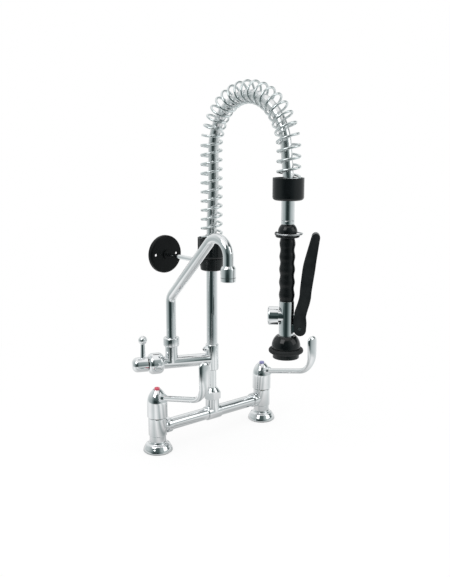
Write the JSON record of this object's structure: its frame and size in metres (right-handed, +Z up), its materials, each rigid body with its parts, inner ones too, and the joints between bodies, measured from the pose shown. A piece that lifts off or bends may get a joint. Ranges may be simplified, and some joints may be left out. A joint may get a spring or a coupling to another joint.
{
  "type": "pre rinse faucet",
  "caption": "Deck-mounted bridge mixer with two lever handles, a side tap with a swivel spout, and a riser with a spring arch, hose and trigger spray gun.",
  "frame": {"origin": "on the deck, midway between the two inlets", "axes": "+Z up along the riser, X along the bridge with the hot side at -X, -Y toward the user, +Y toward the wall"},
  "size_m": [0.29, 0.3685, 0.6165],
  "materials": {
    "chrome": "polished chrome plate on brass",
    "black_plastic": "satin moulded plastic",
    "grip_plastic": "soft satin plastic",
    "rubber": "matt",
    "brass": "turned",
    "steel": "stainless steel",
    "hose": "grey woven cover",
    "hot_red": "coloured index button",
    "cold_violet": "coloured index button"
  },
  "bodies": {
    "mixer": {"deck_gaskets": "rubber", "base_flanges": "chrome", "inlet_shanks": "chrome", "inlet_strainers": "steel", "check_valves": "black_plastic", "pillar_body_hot": "chrome", "pillar_body_cold": "chrome", "cartridge_hot": "brass", "cartridge_cold": "brass", "bridge_nuts": "chrome", "bridge_tubes": "chrome", "bridge_tee": "chrome", "column_nut": "chrome", "lower_column": "chrome", "tap_body": "chrome", "set_screws": "steel", "riser_tube": "chrome", "bracket_clamp": "black_plastic", "bracket_rod": "chrome", "wall_rosette": "black_plastic", "lower_cup": "black_plastic", "hose_union": "brass", "spout_nut": "chrome", "side_cartridge": "brass"},
    "hot_handle": {"hot_spindle": "brass", "hot_hub": "chrome", "hot_lever": "chrome", "hot_index": "hot_red", "hot_screw": "steel"},
    "cold_handle": {"cold_spindle": "brass", "cold_hub": "chrome", "cold_lever": "chrome", "cold_index": "cold_violet", "cold_screw": "steel"},
    "side_handle": {"side_spindle": "brass", "side_hub": "chrome", "side_lever": "chrome"},
    "spout": {"spout_tube": "chrome", "spout_rings": "black_plastic", "aerator_housing": "chrome", "aerator_insert": "steel"},
    "arch": {"spring": "chrome", "hose": "hose", "hose_ferrule": "steel", "upper_cup": "black_plastic", "hose_end_tube": "chrome"},
    "gun": {"swivel_nut": "chrome", "grip_tube": "brass", "grip_collar": "black_plastic", "grip": "grip_plastic", "valve_body": "chrome", "valve_cap": "chrome", "pivot_pin": "steel", "spray_bell": "black_plastic", "bumper_ring": "rubber", "spray_plate": "steel"},
    "stem": {"valve_stem": "steel", "valve_spring": "steel"},
    "trigger": {"trigger": "black_plastic"},
    "ring": {"hold_ring": "steel"}
  },
  "joints": [
    {"name": "hot_turn", "type": "hinge", "parent": "mixer", "child": "hot_handle", "pos_m": [-0.12, 0, 0.09], "axis": [0, 0, -1], "range_deg": [0, 90]},
    {"name": "cold_turn", "type": "hinge", "parent": "mixer", "child": "cold_handle", "pos_m": [0.12, 0, 0.09], "axis": [0, 0, 1], "range_deg": [0, 90]},
    {"name": "side_turn", "type": "hinge", "parent": "mixer", "child": "side_handle", "pos_m": [0, 0, 0.1406], "axis": [0.9205, -0.3907, 0], "range_deg": [0, 90]},
    {"name": "spout_swing", "type": "hinge", "parent": "mixer", "child": "spout", "pos_m": [-0.06766, 0.02872, 0.2], "axis": [0, 0, 1], "range_deg": [-110, 35]},
    {"name": "arch_swing", "type": "hinge", "parent": "mixer", "child": "arch", "pos_m": [0, 0, 0.35], "axis": [0, 0, 1], "range_deg": [-25, 25]},
    {"name": "gun_swivel", "type": "hinge", "parent": "arch", "child": "gun", "pos_m": [0, -0.185, 0.4], "axis": [0, 0, 1], "range_deg": [-90, 90]},
    {"name": "trigger_squeeze", "type": "hinge", "parent": "gun", "child": "trigger", "pos_m": [0.01485, -0.19985, 0.233], "axis": [-0.7071, -0.7071, 0], "range_deg": [0, 5.5], "stiffness_Nm_per_rad": 2, "springref_deg": -5.73},
    {"name": "stem_slide", "type": "slide", "parent": "gun", "child": "stem", "axis": [-0.7071, 0.7071, 0], "range_m": [0, 0.0018]},
    {"name": "ring_lift", "type": "hinge", "parent": "gun", "child": "ring", "pos_m": [-0.01216, -0.17284, 0.38155], "axis": [-0.7071, -0.7071, 0], "range_deg": [0, 40]}
  ],
  "couplings": [
    {"joint": "stem_slide", "follows": "trigger_squeeze", "m_per_rad": 0.0183}
  ]
}
